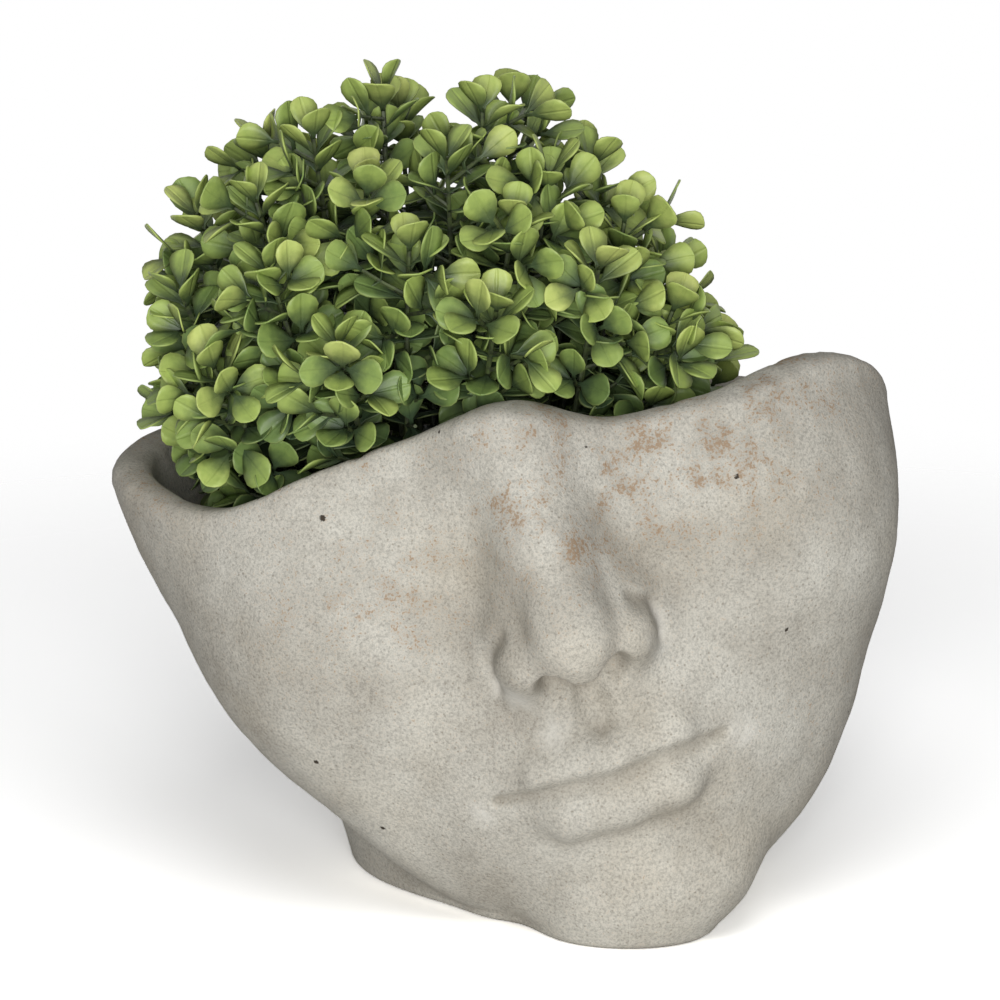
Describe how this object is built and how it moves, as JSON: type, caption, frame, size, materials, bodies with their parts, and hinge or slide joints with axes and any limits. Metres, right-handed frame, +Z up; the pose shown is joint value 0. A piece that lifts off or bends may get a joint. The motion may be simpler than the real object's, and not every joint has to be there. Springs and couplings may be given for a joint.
{
  "type": "head planter",
  "caption": "Cast cement planter in the form of the lower half of a tilted head, with a wavy rim and a lift-out artificial box plant set in foam.",
  "frame": {"origin": "middle of the foot, on the surface that the pot stands on", "axes": "+Z up, the face looks along -Y, +X to the right of someone facing it"},
  "size_m": [0.2321, 0.2062, 0.2491],
  "materials": {
    "cast_cement": "cast cement, unsealed, sandy and matt",
    "dry_foam": "dark green dry floral foam, matt",
    "boxwood_plastic": "moulded polyethylene, satin"
  },
  "bodies": {
    "pot": {"pot_shell": "cast_cement"},
    "plant": {"foam_plug": "dry_foam", "boxwood_sprig_01": "boxwood_plastic", "boxwood_sprig_02": "boxwood_plastic", "boxwood_sprig_03": "boxwood_plastic", "boxwood_sprig_04": "boxwood_plastic", "boxwood_sprig_05": "boxwood_plastic", "boxwood_sprig_06": "boxwood_plastic", "boxwood_sprig_07": "boxwood_plastic", "boxwood_sprig_08": "boxwood_plastic", "boxwood_sprig_09": "boxwood_plastic", "boxwood_sprig_10": "boxwood_plastic", "boxwood_sprig_11": "boxwood_plastic", "boxwood_sprig_12": "boxwood_plastic", "boxwood_sprig_13": "boxwood_plastic", "boxwood_sprig_14": "boxwood_plastic", "boxwood_sprig_15": "boxwood_plastic", "boxwood_sprig_16": "boxwood_plastic", "boxwood_sprig_17": "boxwood_plastic", "boxwood_sprig_18": "boxwood_plastic", "boxwood_sprig_19": "boxwood_plastic", "boxwood_sprig_20": "boxwood_plastic", "boxwood_sprig_21": "boxwood_plastic", "boxwood_sprig_22": "boxwood_plastic", "boxwood_sprig_23": "boxwood_plastic", "boxwood_sprig_24": "boxwood_plastic", "boxwood_sprig_25": "boxwood_plastic", "boxwood_sprig_26": "boxwood_plastic", "boxwood_sprig_27": "boxwood_plastic", "boxwood_sprig_28": "boxwood_plastic", "boxwood_sprig_29": "boxwood_plastic", "boxwood_sprig_30": "boxwood_plastic", "boxwood_sprig_31": "boxwood_plastic", "boxwood_sprig_32": "boxwood_plastic", "boxwood_sprig_33": "boxwood_plastic", "boxwood_sprig_34": "boxwood_plastic", "boxwood_sprig_35": "boxwood_plastic", "boxwood_sprig_36": "boxwood_plastic", "boxwood_sprig_37": "boxwood_plastic", "boxwood_sprig_38": "boxwood_plastic", "boxwood_sprig_39": "boxwood_plastic", "boxwood_sprig_40": "boxwood_plastic", "boxwood_sprig_41": "boxwood_plastic", "boxwood_sprig_42": "boxwood_plastic", "boxwood_sprig_43": "boxwood_plastic", "boxwood_sprig_44": "boxwood_plastic"}
  },
  "joints": [
    {"name": "plant_lift", "type": "slide", "parent": "pot", "child": "plant", "axis": [0, 0, 1], "range_m": [0, 0.18]}
  ]
}
